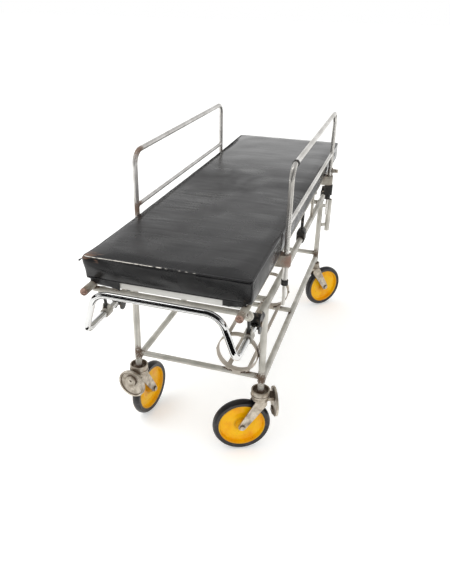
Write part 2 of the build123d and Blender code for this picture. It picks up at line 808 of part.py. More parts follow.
for name, end in ends.items():
    save(f"{name}_legs", leg(-1, end), leg(1, end))
for name, side in sides.items():
    save(f"upper_rail_{name}", upper_rail(side))
    save(f"lower_rail_{name}", lower_rail(side))
    save(f"pole_{name}", pole(side))
save("base_crossbars", upper_crossbar(-1), upper_crossbar(1),
     lower_crossbar(-1), middle_crossbar(), lower_crossbar(1))
save("cylinder_ring_front", cylinder_ring(-leg_y))
save("cylinder_ring_rear", cylinder_ring(middle_crossbar_y))
save("cradle_bars", *[cradle_bar(angle) for angle in cradle_bar_angles])
save("drip_pole_socket", drip_pole_socket())
corners = [(side, end) for side in sides.values() for end in ends.values()]
deck_bar_ys = [end * y for end in ends.values() for y in (deck_end_bar_y, deck_middle_bar_y)]
save("pole_pillars", *[pole_pillar(side, end * pillar_y) for side, end in corners])
save("middle_rests", *[middle_rest(side) for side in sides.values()])
save("pole_end_plugs", *[pole_end_plug(side, end) for side, end in corners])
save("deck_crossbars", *[deck_crossbar(y) for y in deck_bar_ys])
save("deck_board", deck_board())
save("deck_end_strips", deck_end_strip(-1), deck_end_strip(1))
save("mattress", mattress())

save("cot_frame_right", cot_frame())
save("cot_frame_left", to_left(cot_frame()))
save("cot_lower_bar_right", cot_lower_bar())
save("cot_lower_bar_left", to_left(cot_lower_bar()))
ferrules = [cot_ferrule(cot_front_y), cot_ferrule(cot_rear_y), cot_buffer()]
save("cot_ferrules_right", *ferrules, cot_band())
save("cot_ferrules_left", *[to_left(ferrule) for ferrule in ferrules])
sockets = [cot_socket(cot_front_y, False), cot_socket(cot_rear_y, True)]
save("cot_sockets_right", *sockets)
save("cot_sockets_left", *[to_left(socket) for socket in sockets])
save("latch_plunger_right", latch_plunger())
save("latch_plunger_left", to_left(latch_plunger()))

brackets = [handle_bracket(side) for side in sides.values()]
bolts = [pivot_bolt(side * leg_x) for side in sides.values()]
bolts += [set_screw(side * leg_x) for side in sides.values()]
collars = [handle_collar(side * leg_x) for side in sides.values()]
save("push_handle_front", push_handle())
save("push_handle_rear", to_rear(push_handle()))
save("handle_brackets_front", *brackets)
save("handle_brackets_rear", *[to_rear(bracket) for bracket in brackets])
save("handle_bolts", *bolts, *[to_rear(bolt) for bolt in bolts])
save("handle_collars_front", *collars)
save("handle_collars_rear", *[to_rear(collar) for collar in collars])
for name, side in sides.items():
    lever = lock_lever(side * leg_x)
    save(f"lock_lever_front_{name}", lever)
    save(f"lock_lever_rear_{name}", to_rear(lever))

heads = []
for name, angle in castor_angles.items():
    end_name, side_name = name.split("_")
    place = castor_frame(sides[side_name], ends[end_name], angle)
    braked = end_name == "front"
    fork = castor_fork(front_crown_d if braked else rear_crown_d)
    if braked:
        fork += brake_lugs()
        save(f"brake_pedal_{name}", place * brake_pedal())
    heads.append(place * castor_head(front_head_d if braked else rear_head_d))
    save(f"castor_fork_{name}", place * fork)
    save(f"axle_{name}", place * axle_bolt())
    save(f"wheel_centre_{name}", place * wheel_centre())
    save(f"tyre_{name}", place * tyre())
save("castor_heads", *heads)
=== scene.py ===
# %% [markdown]
# # A patient trolley, dressed
# The CAD frame already has every rigid piece in its true place. This lesson gives those pieces
# their finishes, swaps the plain mattress solid for a simulated pad with piping and loose hems,
# adds weld beads and screws, and sets up a plain studio with the photograph's camera.

# %% Load the frame
import bpy
import json
import math
import random
from mathutils import Matrix, Vector, noise


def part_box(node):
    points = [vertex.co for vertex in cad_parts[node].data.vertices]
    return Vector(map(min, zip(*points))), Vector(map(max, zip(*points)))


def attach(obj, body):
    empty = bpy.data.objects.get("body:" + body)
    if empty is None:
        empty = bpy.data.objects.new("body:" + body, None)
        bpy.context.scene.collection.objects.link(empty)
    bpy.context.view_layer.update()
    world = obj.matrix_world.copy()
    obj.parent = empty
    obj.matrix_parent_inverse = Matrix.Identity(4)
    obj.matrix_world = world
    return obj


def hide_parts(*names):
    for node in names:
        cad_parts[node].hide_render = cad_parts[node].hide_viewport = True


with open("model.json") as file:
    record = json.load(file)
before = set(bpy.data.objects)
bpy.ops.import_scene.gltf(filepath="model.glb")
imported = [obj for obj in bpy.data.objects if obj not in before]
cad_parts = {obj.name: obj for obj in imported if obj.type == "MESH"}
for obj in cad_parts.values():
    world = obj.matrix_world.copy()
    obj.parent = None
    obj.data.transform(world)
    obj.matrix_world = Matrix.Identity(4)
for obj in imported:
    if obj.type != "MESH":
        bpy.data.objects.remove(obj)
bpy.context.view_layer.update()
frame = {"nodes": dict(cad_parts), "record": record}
nodes = frame["nodes"]
scene = bpy.context.scene

# %% [markdown]
# ## The camera
# A photograph of an object this long is a perspective puzzle: the near end looks twice as large
# as the far end. The camera's place was worked out from the trolley's parallel edges, with the
# scale taken from its wheels, and is written down here as a spot, three angles and a lens.
# A small lens shift stands for the crop of the picture.

# %% Camera
image_width, image_height = 450, 563
focal_pixels = 589.57
centre_pixel = (212.63, 278.74)
camera_spot = Vector((0.6482, -2.4129, 1.6558))
turn, tilt, lean = (math.radians(angle) for angle in (18.206, 26.464, 0.661))

back = Vector((math.sin(turn) * math.cos(tilt), -math.cos(turn) * math.cos(tilt), math.sin(tilt)))
level = Vector((math.cos(turn), math.sin(turn), 0))
upright = back.cross(level)
across = level * math.cos(lean) + upright * math.sin(lean)
above = upright * math.cos(lean) - level * math.sin(lean)

lens = bpy.data.cameras.new("photo_camera")
lens.sensor_fit = "VERTICAL"
lens.sensor_height = 36.0
lens.lens = focal_pixels * lens.sensor_height / image_height
lens.shift_x = (image_width / 2 - centre_pixel[0]) / image_height
lens.shift_y = (centre_pixel[1] - image_height / 2) / image_height
camera = bpy.data.objects.new("photo_camera", lens)
aim = Matrix((across, above, back)).transposed().to_4x4()
camera.matrix_world = Matrix.Translation(camera_spot) @ aim
scene.collection.objects.link(camera)
scene.camera = camera
scene.view_settings.view_transform = "Standard"
print(f"camera: {lens.lens:.1f} mm lens, shift {lens.shift_x:.4f}, {lens.shift_y:.4f}")

# %% [markdown]
# ## One way to write a material
# Blender's shader editor is a graph: nodes with sockets and links. In code the same graph is
# clearest when every node is one call that says what it is, what is set and what is plugged in.
# A Mix node's inputs go by number: 0 is the share, 2 and 3 are the two numbers and 6 and 7 the two
# colours. Colours are picked as sRGB hex, as on a paint chart, and turned to the linear light that
# a renderer adds up. Pattern sizes are thought of in millimetres.

# %% Colour, pattern size and node helpers
def linear(chip):
    """An sRGB hex colour as linear red, green, blue and alpha."""
    values = [int(chip[i:i + 2], 16) / 255 for i in (1, 3, 5)]
    return [v / 12.92 if v <= 0.04045 else ((v + 0.055) / 1.055) ** 2.4 for v in values] + [1.0]


def per_mm(size):
    """The texture scale at which a pattern repeats about every size millimetres."""
    return 1000.0 / size


def new_material(name):
    """A new material, its node tree and its main shader."""
    material = bpy.data.materials.new(name)
    material.use_nodes = True
    tree = material.node_tree
    return material, tree, tree.nodes["Principled BSDF"]


def feed(tree, entry, value):
    """Links an input to a socket or to a node's first output in use, or sets it to a plain value."""
    if isinstance(value, bpy.types.Node):
        value = next(output for output in value.outputs if output.enabled)
    if isinstance(value, bpy.types.NodeSocket):
        tree.links.new(value, entry)
    else:
        entry.default_value = value


def add(tree, kind, settings):
    """Adds one node. A key is a property, or an input's name or number, and feed takes the value."""
    made = tree.nodes.new("ShaderNode" + kind)
    for key, value in settings.items():
        if key == "stops":
            ramp = made.color_ramp
            while len(ramp.elements) < len(value):
                ramp.elements.new(0.5)
            for stop, (position, colour) in zip(ramp.elements, value):
                stop.position = position
                stop.color = colour
        elif isinstance(key, str) and hasattr(made, key):
            setattr(made, key, value)
        else:
            feed(tree, made.inputs[key], value)
    return made


def plug(tree, shader, **sockets):
    """Feeds a shader's inputs, named with an underline for each space."""
    for name, value in sockets.items():
        feed(tree, shader.inputs[name.replace("_", " ")], value)


print("helpers ready; a 4 mm pattern has scale", per_mm(4))

# %% [markdown]
# ## A plain studio
# Catalogue pictures are lit by large soft sources so that nothing has a hard shadow. A world of
# even white does most of that, with one broad lamp above for direction. The floor glows a little
# for the camera and in reflections, through the Light Path node, so that it looks nearly white
# and keeps its shadow, while the light it throws back on the trolley is only that of pale paint.
# Shiny things show the room itself. A real studio has a white backdrop of a certain height with a
# dimmer room above it, and black cards stand out of the picture, because polished metal in an
# all-white room would vanish. Both are seen only in reflections here.

# %% Studio
lamp_watts = 60.0
lamp_spot, lamp_target = Vector((-1.6, -1.4, 4.2)), Vector((0, 0, 0.7))
floor_size = 60.0
floor_mottle = 0.6        # patches across the whole floor, so it varies very little
floor_shine = 0.30
felt_nap = 50.0           # patches across a card
card_lift = 0.004         # a card on the floor lies this far above it

world = bpy.data.worlds.new("white_room")
world.use_nodes = True
scene.world = world


def seen_directly(tree):
    """1 for a ray from the camera, a reflection or through glass, and 0 for other light."""
    path = add(tree, "LightPath", {})
    shiny = add(tree, "Math", {"operation": "MAXIMUM", 0: path.outputs["Is Camera Ray"],
                               1: path.outputs["Is Glossy Ray"]})
    return add(tree, "Math", {"operation": "MAXIMUM", 0: shiny, 1: path.outputs["Is Transmission Ray"]})


room = world.node_tree
direction = add(room, "SeparateXYZ", {"Vector": add(room, "TexCoord", {}).outputs["Generated"]})
backdrop = add(room, "ValToRGB", {"Fac": direction.outputs["Z"],
                                  "stops": [(0.29, linear("#ffffff")), (0.37, linear("#cccccc")),
                                            (0.5, linear("#a8a8a8")), (1.0, linear("#c8c8c8"))]})
reflected = add(room, "LightPath", {}).outputs["Is Glossy Ray"]
walls = add(room, "Mix", {"data_type": "RGBA", 0: reflected, 6: linear("#ffffff"), 7: backdrop})
plug(room, room.nodes["Background"], Color=walls, Strength=1.0)


def flat_card(name, middle, width, height, facing):
    """A flat rectangle that faces along a direction."""
    mesh = bpy.data.meshes.new(name)
    corners = [(-width / 2, -height / 2, 0), (width / 2, -height / 2, 0),
               (width / 2, height / 2, 0), (-width / 2, height / 2, 0)]
    mesh.from_pydata(corners, [], [(0, 1, 2, 3)])
    card = bpy.data.objects.new(name, mesh)
    card.rotation_euler = Vector(facing).to_track_quat("Z", "Y").to_euler()
    card.location = middle
    scene.collection.objects.link(card)
    return card


floor = flat_card("studio_floor", (0, 0, 0), floor_size, floor_size, (0, 0, 1))
floor_paint, tree, shader = new_material("matt_white_floor_paint")
floor_glow = add(tree, "MapRange", {"Value": seen_directly(tree), "To Max": floor_shine})
mottle = add(tree, "TexNoise", {"Scale": floor_mottle})
pale = add(tree, "Mix", {"data_type": "RGBA", 0: mottle, 6: linear("#efefed"), 7: linear("#f2f2f1")})
plug(tree, shader, Base_Color=pale, Roughness=0.9, Specular_IOR_Level=0.1,
     Emission_Color=linear("#ffffff"), Emission_Strength=floor_glow)
floor.data.materials.append(floor_paint)

black_card, tree, shader = new_material("black_felt_card")
nap = add(tree, "TexNoise", {"Scale": felt_nap})
felt = add(tree, "Mix", {"data_type": "RGBA", 0: nap, 6: linear("#0b0b0c"), 7: linear("#161617")})
plug(tree, shader, Base_Color=felt, Roughness=1.0, Specular_IOR_Level=0.0)
cards = (                 # name, middle, width, height, facing
    ("card_behind_camera", (0.0, -5.5, 1.8), 9.0, 3.6, (0, 1, 0)),
    ("card_above_camera", (0.0, -3.2, 3.6), 9.0, 4.6, (0, 0, -1)),
    ("card_left", (-4.5, -0.5, 1.3), 7.0, 1.4, (1, 0, 0)),
    ("card_right", (4.8, 0.5, 1.2), 6.0, 1.2, (-1, 0, 0)),
    ("card_back_left", (-2.5, 4.2, 0.95), 2.2, 1.1, (0, -1, 0)),
    ("card_floor_left", (-0.8, -2.7, card_lift), 1.3, 1.0, (0, 0, 1)),
    ("card_floor_right", (1.1, -2.1, card_lift), 2.5, 0.95, (0, 0, 1)),
    ("card_under_handle", (-0.35, -1.14, card_lift), 0.8, 0.36, (0, 0, 1)),
    ("card_floor_back", (1.0, 2.5, card_lift), 0.5, 3.8, (0, 0, 1)),
    ("card_floor_side", (3.0, -1.3, card_lift), 1.4, 2.2, (0, 0, 1)),
)
for row in cards:
    card = flat_card(*row)
    card.data.materials.append(black_card)
    card.visible_camera = False
    card.visible_diffuse = False
    card.visible_shadow = False

lamp_data = bpy.data.lights.new("broad_softbox", "AREA")
lamp_data.shape = "RECTANGLE"
lamp_data.size = 3.0
lamp_data.size_y = 2.4
lamp_data.energy = lamp_watts
lamp = bpy.data.objects.new("broad_softbox", lamp_data)
lamp.location = lamp_spot
lamp.rotation_euler = (lamp_target - lamp_spot).to_track_quat("-Z", "Y").to_euler()
scene.collection.objects.link(lamp)
print("studio: floor, softbox and", len(cards), "black cards")

# %% [markdown]
# ## Metal that has been in use
# Most of the trolley is steel tube with something on it: aluminium paint, chrome or zinc. They
# age in the same way. The finish dulls in patches, fine specks break through, and grime and rust
# stay where a cloth doesn't reach. The Ambient Occlusion node finds those places: it is dark
# where two pieces meet. One function builds patchy colour, specks and that grime. A few spots
# that are rustier than the rest can be named too.

# %% Worn metal
spot_strength = 0.34      # the extra wear in the middle of a rusty spot
speck_share, patch_share = 0.6, 0.4
rust_blend = 0.12         # how gradually the finish gives way to rust
rust_roughness, rust_bump = 0.85, 0.5
grit_height = 0.0006


def worn_metal(name, light, dark, metallic, roughness, patch_mm, speck_mm, wear, grime=0.3,
               spots=(), spot_reach=0.06, rust=("#3f3128", "#6f5a4a"), bump=0.05, corner_reach=0.018):
    """A metal finish with patches, specks, grime in the corners and rust at named spots."""
    material, tree, shader = new_material(name)
    place = add(tree, "TexCoord", {}).outputs["Object"]
    patches = add(tree, "TexNoise", {"Vector": place, "Scale": per_mm(patch_mm), "Detail": 6.0})
    specks = add(tree, "TexNoise", {"Vector": place, "Scale": per_mm(speck_mm), "Detail": 4.0,
                                    "Roughness": 0.7})
    coat = add(tree, "ValToRGB", {"Fac": patches,
                                  "stops": [(0.3, linear(dark)), (0.68, linear(light))]})
    corners = add(tree, "AmbientOcclusion", {"samples": 6, "Distance": corner_reach})
    reach = add(tree, "MapRange", {"Value": corners.outputs["AO"], "From Min": 0.92, "From Max": 0.45,
                                   "To Max": grime})
    for spot in spots:
        gap = add(tree, "VectorMath", {"operation": "DISTANCE", 0: place, 1: spot})
        close = add(tree, "MapRange", {"Value": gap, "From Min": spot_reach,
                                       "From Max": 0.0, "To Max": spot_strength})
        reach = add(tree, "Math", {"operation": "MAXIMUM", 0: reach, 1: close})
    wear_sum = reach
    for pattern, share in ((specks, speck_share), (patches, patch_share)):
        wear_sum = add(tree, "Math", {"operation": "MULTIPLY_ADD", 0: pattern, 1: share, 2: wear_sum})
    edge = 0.75 - 0.35 * wear     # more wear, and rust breaks through sooner
    rusty = add(tree, "MapRange", {"Value": wear_sum, "From Min": edge, "From Max": edge + rust_blend})
    crust = add(tree, "ValToRGB", {"Fac": specks,
                                   "stops": [(0.35, linear(rust[0])), (0.7, linear(rust[1]))]})
    colour = add(tree, "Mix", {"data_type": "RGBA", 0: rusty, 6: coat, 7: crust})
    satin = add(tree, "MapRange", {"Value": patches, "From Min": 0.3, "From Max": 0.7,
                                   "To Min": roughness * 1.25, "To Max": roughness * 0.8})
    rough = add(tree, "Mix", {0: rusty, 2: satin, 3: rust_roughness})
    grit = add(tree, "Mix", {0: rusty, 2: bump, 3: rust_bump})
    relief = add(tree, "Bump", {"Strength": grit, "Distance": grit_height, "Height": specks})
    plug(tree, shader, Base_Color=colour, Roughness=rough, Normal=relief)
    if metallic:
        shine = add(tree, "MapRange", {"Value": rusty, "To Min": metallic, "To Max": 0.0})
        plug(tree, shader, Metallic=shine)
    return material


print("worn metal ready")

# %% [markdown]
# The finishes themselves, with the places on the trolley that they refer to. Those places are
# metres in the CAD frame, and the weld beads use them again.

# %% Places on the trolley
leg_x, leg_y = 0.255, 0.613
upper_rail_z, lower_rail_z = 0.640, 0.308
upper_cross_y, low_cross_z = 0.568, 0.3318
pole_x, pole_z, pole_end_y = 0.257, 0.780, 0.97
pillar_y = 0.304
cot_x, cot_front_y, cot_rear_y, cot_bar_z = 0.293, -0.482, 0.562, 0.904
four_ways = [(sx, sy) for sx in (-1, 1) for sy in (-1, 1)]
leg_joints = [(sx * leg_x, sy * leg_y, low_cross_z) for sx, sy in four_ways]
pole_ends = [(sx * pole_x, sy * pole_end_y, pole_z) for sx, sy in four_ways]
# the spot at the bend is partly rust and partly painted shade
left_post_foot, left_post_bend_rust_and_shade = (-cot_x, cot_front_y, 0.90), (-cot_x, -0.45, 1.10)
front_right_socket = (0.300, -0.490, 0.765)
print("places:", len(leg_joints + pole_ends), "joints and ends")

# %% Metal finishes
finishes = {}
# Aluminium paint brushed on steel tube: warm silver grey with a soft sheen, brown at the welds.
finishes["frame_paint"] = worn_metal(
    "aluminium_paint_on_steel", "#d3d0c8", "#aca9a0", metallic=0.42, roughness=0.34, patch_mm=70,
    speck_mm=6, wear=0.38, grime=0.45, spots=leg_joints, spot_reach=0.055, rust=("#4a3a2e", "#75604f"),
    corner_reach=0.022)
# The same paint on the strip steel of the cradle, a little darker and browner.
finishes["cradle_paint"] = worn_metal(
    "aluminium_paint_on_strip", "#c6bdb1", "#a3998c", metallic=0.3, roughness=0.45, patch_mm=70,
    speck_mm=5, wear=0.40)
# The poles are older than the frame: browner, and brown at the ends that hands and walls rub.
pole_paint = worn_metal(
    "aluminium_paint_on_pole", "#b3aea5", "#8e897b", metallic=0.35, roughness=0.42, patch_mm=60,
    speck_mm=5, wear=0.34, spots=pole_ends, rust=("#574b3c", "#827263"))
# Light grey enamel on the deck's end strips.
finishes["strip_paint"] = worn_metal(
    "light_grey_enamel", "#dcdbd7", "#c6c4be", metallic=0.0, roughness=0.4, patch_mm=120,
    speck_mm=6, wear=0.30, grime=0.12)
# Chrome plate that has gone satin, with brown pin-holes. Chrome keeps the default IOR.
finishes["satin_chrome"] = worn_metal(
    "worn_chrome_plate", "#dedcd8", "#c2beb7", metallic=0.85, roughness=0.28, patch_mm=110,
    speck_mm=4, wear=0.34, grime=0.22, rust=("#4d4037", "#84736a"))
# The same chrome on the left cot side, browned by rust at the foot of the front post, and at
# its bend browned partly by rust and partly by painted shade.
left_chrome = worn_metal(
    "worn_chrome_plate_browned", "#e2e0dd", "#c3c0bb", metallic=0.75, roughness=0.32, patch_mm=60,
    speck_mm=5, wear=0.36, grime=0.22, spots=[left_post_foot, left_post_bend_rust_and_shade], spot_reach=0.065,
    rust=("#574336", "#8a7566"))
# Zinc plate on castors, bolts and latches: dull, yellowed, with brown grease in the corners.
finishes["zinc_plate"] = worn_metal(
    "dull_zinc_plate", "#d6cdbf", "#8f8373", metallic=0.7, roughness=0.36, patch_mm=20,
    speck_mm=4, wear=0.42, grime=0.42, rust=("#3c2f25", "#75634f"), bump=0.3, corner_reach=0.03)
# Bare steel, tarnished; the front right socket has rusted to a pinkish brown.
finishes["bare_steel"] = worn_metal(
    "tarnished_steel", "#bab5ab", "#948c80", metallic=0.7, roughness=0.45, patch_mm=35,
    speck_mm=3, wear=0.36, spots=[front_right_socket], spot_reach=0.05, rust=("#74574a", "#a38779"))
# Sand-cast aluminium collars: pale grey with a grainy skin.
finishes["cast_alloy"] = worn_metal(
    "sand_cast_aluminium", "#cbc8c0", "#aba79e", metallic=0.7, roughness=0.5, patch_mm=25,
    speck_mm=3, wear=0.28, bump=0.3)
print("worn metals:", len(finishes))

# %% [markdown]
# ## Bright chrome on the push handles
# The handles are the brightest thing on the trolley: hard chrome over polished tube, wiped often.
# A mirror has little colour of its own, so the work goes into a low roughness with faint smears
# from hands, and the odd brown pit.

# %% Bright chrome
chrome, tree, shader = new_material("polished_chrome_plate")
place = add(tree, "TexCoord", {}).outputs["Object"]
smears = add(tree, "TexNoise", {"Vector": place, "Scale": per_mm(45), "Detail": 5.0})
pits = add(tree, "TexNoise", {"Vector": place, "Scale": per_mm(3.5), "Detail": 3.0})
pitted = add(tree, "MapRange", {"Value": pits, "From Min": 0.71, "From Max": 0.77})
plate = add(tree, "Mix", {"data_type": "RGBA", 0: smears, 6: linear("#d2d2d1"), 7: linear("#e2e2e1")})
colour = add(tree, "Mix", {"data_type": "RGBA", 0: pitted, 6: plate, 7: linear("#6f5a48")})
smeared = add(tree, "MapRange", {"Value": smears, "From Min": 0.35, "From Max": 0.7,
                                 "To Min": 0.05, "To Max": 0.13})
plug(tree, shader, Base_Color=colour, Metallic=1.0, Roughness=smeared)
finishes["bright_chrome"] = chrome
print("bright chrome ready")

# %% [markdown]
# ## Painted, moulded and turned pieces
# Enamel, rubber and plastic are not metals: their colour is in the body and their shine is a thin
# clear reflection on top, set by an IOR of about 1.5. What tells them apart is how rough that
# reflection is, and what sticks to them. One function gives a base of two near colours, a rubbed
# tint where the surface is scuffed, and a grain in the relief.

# %% Enamel, rubber and plastic
scuff_blend, scuff_roughness = 0.12, 0.25
grain_height = 0.0005


def moulded(name, deep, light, scuff, roughness, grain_mm, patch_mm, scuff_share, ior=1.5, relief=0.15):
    """A non-metal finish: two near colours, a scuff tint and a fine grain."""
    material, tree, shader = new_material(name)
    place = add(tree, "TexCoord", {}).outputs["Object"]
    patches = add(tree, "TexNoise", {"Vector": place, "Scale": per_mm(patch_mm), "Detail": 5.0})
    grain = add(tree, "TexNoise", {"Vector": place, "Scale": per_mm(grain_mm), "Detail": 3.0})
    body = add(tree, "Mix", {"data_type": "RGBA", 0: patches, 6: linear(deep), 7: linear(light)})
    both = add(tree, "Math", {"operation": "MULTIPLY_ADD", 0: grain, 1: 0.5, 2: patches})
    edge = 0.95 - 0.35 * scuff_share
    scuffed = add(tree, "MapRange", {"Value": both, "From Min": edge, "From Max": edge + scuff_blend})
    colour = add(tree, "Mix", {"data_type": "RGBA", 0: scuffed, 6: body, 7: linear(scuff)})
    rough = add(tree, "MapRange", {"Value": scuffed, "To Min": roughness,
                                   "To Max": min(1.0, roughness + scuff_roughness)})
    skin = add(tree, "Bump", {"Strength": relief, "Distance": grain_height, "Height": grain})
    plug(tree, shader, Base_Color=colour, Roughness=rough, IOR=ior, Normal=skin)
    return material


# Black stoving enamel on the clevis brackets, chipped to dull brown.
finishes["black_enamel"] = moulded(
    "black_stove_enamel", "#121212", "#1f1e1d", "#564b41", roughness=0.38, grain_mm=3, patch_mm=14,
    scuff_share=0.45)
# Black rubber ferrules, matt and dusty.
finishes["black_rubber"] = moulded(
    "black_moulded_rubber", "#1a1a1a", "#2a2928", "#4c4844", roughness=0.75, grain_mm=2, patch_mm=12,
    scuff_share=0.4, relief=0.3)
# Plugs turned from red-brown fibre, faded and rubbed.
finishes["end_plug"] = moulded(
    "faded_fibre_plug", "#8f7265", "#ac8e7f", "#70564a", roughness=0.6, grain_mm=3, patch_mm=12,
    scuff_share=0.6)
# Ply board painted light grey.
finishes["deck_paint"] = moulded(
    "grey_painted_ply", "#b9b8b3", "#cbcac5", "#8d8476", roughness=0.55, grain_mm=4, patch_mm=90,
    scuff_share=0.4)
# Solid tyre rubber: near black with a low shine, paler in scuffed patches.
finishes["tyre_rubber"] = moulded(
    "black_tyre_rubber", "#121113", "#1d1b1e", "#403d3f", roughness=0.36, grain_mm=3, patch_mm=30,
    scuff_share=0.4, ior=1.52, relief=0.2)
print("finishes so far:", len(finishes))

# %% [markdown]
# ## Yellow gloss on the wheel discs
# The pressed wheel centres carry a thick coat of yellow gloss. It has gone more orange where it
# is thin, and grease has crept out of the hub. Each disc is round, so the dirt follows the
# distance from its axle. One material serves all four wheels if it takes the nearest axle.

# %% Yellow gloss paint
axle_z = 0.1143
axles = [(-0.2459, -0.5436, axle_z), (0.1916, -0.6426, axle_z),
         (-0.3018, 0.6650, axle_z), (0.3018, 0.6650, axle_z)]
greasy_to, grease_end = 0.020, 0.036          # distances from the axle
rim_dirt_start, rim_dirt_full = 0.083, 0.093
yellow, tree, shader = new_material("yellow_gloss_paint")
place = add(tree, "TexCoord", {}).outputs["Object"]
from_axle = None
for axle in axles:
    gap = add(tree, "VectorMath", {"operation": "DISTANCE", 0: place, 1: axle})
    from_axle = gap if from_axle is None else add(
        tree, "Math", {"operation": "MINIMUM", 0: from_axle, 1: gap})
runs = add(tree, "TexNoise", {"Vector": place, "Scale": per_mm(55), "Detail": 5.0})
chips = add(tree, "TexNoise", {"Vector": place, "Scale": per_mm(5), "Detail": 4.0})
coat = add(tree, "ValToRGB", {"Fac": runs,
                              "stops": [(0.30, linear("#f5a200")), (0.5, linear("#ffbe00")),
                                        (0.75, linear("#ffcb0c"))]})
hub_grease = add(tree, "MapRange", {"Value": from_axle, "From Min": grease_end, "From Max": greasy_to})
rim_dirt = add(tree, "MapRange", {"Value": from_axle, "From Min": rim_dirt_start,
                                  "From Max": rim_dirt_full, "To Max": 0.75})
dirt = add(tree, "Math", {"operation": "MAXIMUM", 0: hub_grease, 1: rim_dirt})
patchy = add(tree, "Math", {"operation": "MULTIPLY", 0: dirt, 1: chips})
chipped = add(tree, "MapRange", {"Value": chips, "From Min": 0.70, "From Max": 0.74})
grimy = add(tree, "Math", {"operation": "MAXIMUM", 0: patchy, 1: chipped})
colour = add(tree, "Mix", {"data_type": "RGBA", 0: grimy, 6: coat, 7: linear("#6a4318")})
rough = add(tree, "MapRange", {"Value": grimy, "To Min": 0.28, "To Max": 0.7})
peel = add(tree, "Bump", {"Strength": 0.08, "Distance": 0.001, "Height": runs})
plug(tree, shader, Base_Color=colour, Roughness=rough, IOR=1.5, Specular_IOR_Level=0.3, Normal=peel)
finishes["yellow_paint"] = yellow
print("yellow gloss ready for", len(axles), "wheels")

# %% [markdown]
# ## Lock levers: a pale ball on a black stem
# Each lever is one CAD piece, but the real one is a moulded ball screwed on a painted stem. The
# ball's centre is known, so the distance from it decides which finish a point has.

# %% Lever knobs
ball_spot = (0.255, 0.852, 0.7271)            # the same for all four but for the signs
ball_edge = 0.0178
levers, tree, shader = new_material("grey_ball_on_black_stem")
place = add(tree, "TexCoord", {}).outputs["Object"]
folded = add(tree, "VectorMath", {"operation": "ABSOLUTE", 0: place})
gap = add(tree, "VectorMath", {"operation": "DISTANCE", 0: folded, 1: ball_spot})
stem = add(tree, "Math", {"operation": "GREATER_THAN", 0: gap, 1: ball_edge})
stains = add(tree, "TexNoise", {"Vector": place, "Scale": per_mm(9), "Detail": 5.0})
ball = add(tree, "ValToRGB", {"Fac": stains,
                              "stops": [(0.34, linear("#a39d90")), (0.6, linear("#d6d4ca"))]})
black = add(tree, "Mix", {"data_type": "RGBA", 0: stains, 6: linear("#171615"), 7: linear("#33302c")})
colour = add(tree, "Mix", {"data_type": "RGBA", 0: stem, 6: ball, 7: black})
rough = add(tree, "MapRange", {"Value": stains, "From Min": 0.3, "From Max": 0.7,
                               "To Min": 0.45, "To Max": 0.3})
plug(tree, shader, Base_Color=colour, Roughness=rough, IOR=1.49)
finishes["knob_plastic"] = levers
print("lever knobs ready")

# %% [markdown]
# ## Black vinyl
# The mattress cover is cloth coated with black vinyl, calendered with a fine leather grain. Its
# colour is nearly black, and what the eye sees is reflection: pale at the far end, where the
# white backdrop glances off it, and dark on the end that faces the camera. Handling has dulled it
# in patches, most in the middle where people lie, while the far end keeps its gloss. Folding has
# left faint wrinkles across its width, and the brown backing shows at a torn corner. The grain on
# the real cover is under a millimetre, too fine for the picture, so it is drawn coarser.

# %% Vinyl
grain_mm, scratch_mm, wrinkle_mm, rub_mm = 2.4, 6.0, 24.0, 190.0
torn_corner = Vector((-0.281, -0.915, 0.880))
torn_reach = 0.090
torn_squat = 2.6          # the tear spreads over the top more than down the front
lain_on_end, lain_on_full = 0.26, 0.02        # distances from the middle of the pad
gloss_start, gloss_full = 0.44, 0.74          # towards the far end

vinyl, tree, shader = new_material("black_calendered_vinyl")
place = add(tree, "TexCoord", {}).outputs["Object"]
across_pad = add(tree, "Mapping", {"Vector": place, "Scale": (0.16, 1.0, 0.5)})
wrinkles = add(tree, "TexNoise", {"Vector": across_pad, "Scale": per_mm(wrinkle_mm),
                                  "Detail": 3.0, "Roughness": 0.55, "Distortion": 0.4})
rubs = add(tree, "TexNoise", {"Vector": place, "Scale": per_mm(rub_mm), "Detail": 5.0,
                              "Distortion": 0.8})
pores = add(tree, "TexVoronoi", {"Vector": place, "Scale": per_mm(grain_mm)})
scratches = add(tree, "TexNoise", {"Vector": across_pad, "Scale": per_mm(scratch_mm), "Detail": 3.0})
tint = add(tree, "ValToRGB", {"Fac": rubs,
                              "stops": [(0.35, linear("#111112")), (0.68, linear("#1f1e1f"))]})
streaks = add(tree, "MapRange", {"Value": scratches, "From Min": 0.60, "From Max": 0.78,
                                 "To Max": 0.25})
dusty = add(tree, "Mix", {"data_type": "RGBA", 0: streaks, 6: tint, 7: linear("#4a494a")})
squat = add(tree, "Mapping", {"Vector": place, "Scale": (1.0, 1.0, torn_squat)})
torn_gap = add(tree, "VectorMath", {"operation": "DISTANCE", 0: squat,
                                    1: (*torn_corner.xy, torn_corner.z * torn_squat)})
torn_edge = add(tree, "MapRange", {"Value": torn_gap, "From Min": torn_reach,
                                   "From Max": 0.0, "To Max": 0.55})
torn_sum = add(tree, "Math", {"operation": "ADD", 0: torn_edge, 1: scratches})
torn = add(tree, "MapRange", {"Value": torn_sum, "From Min": 0.80, "From Max": 0.92})
colour = add(tree, "Mix", {"data_type": "RGBA", 0: torn, 6: dusty, 7: linear("#6a5040")})
along_pad = add(tree, "SeparateXYZ", {"Vector": place}).outputs["Y"]
from_middle = add(tree, "Math", {"operation": "ABSOLUTE", 0: along_pad})
lain_on = add(tree, "MapRange", {"Value": from_middle, "From Min": lain_on_end,
                                 "From Max": lain_on_full, "To Max": 0.17})
dull = add(tree, "Math", {"operation": "MULTIPLY_ADD", 0: wrinkles, 1: 0.25, 2: rubs})
dull = add(tree, "Math", {"operation": "ADD", 0: dull, 1: lain_on})
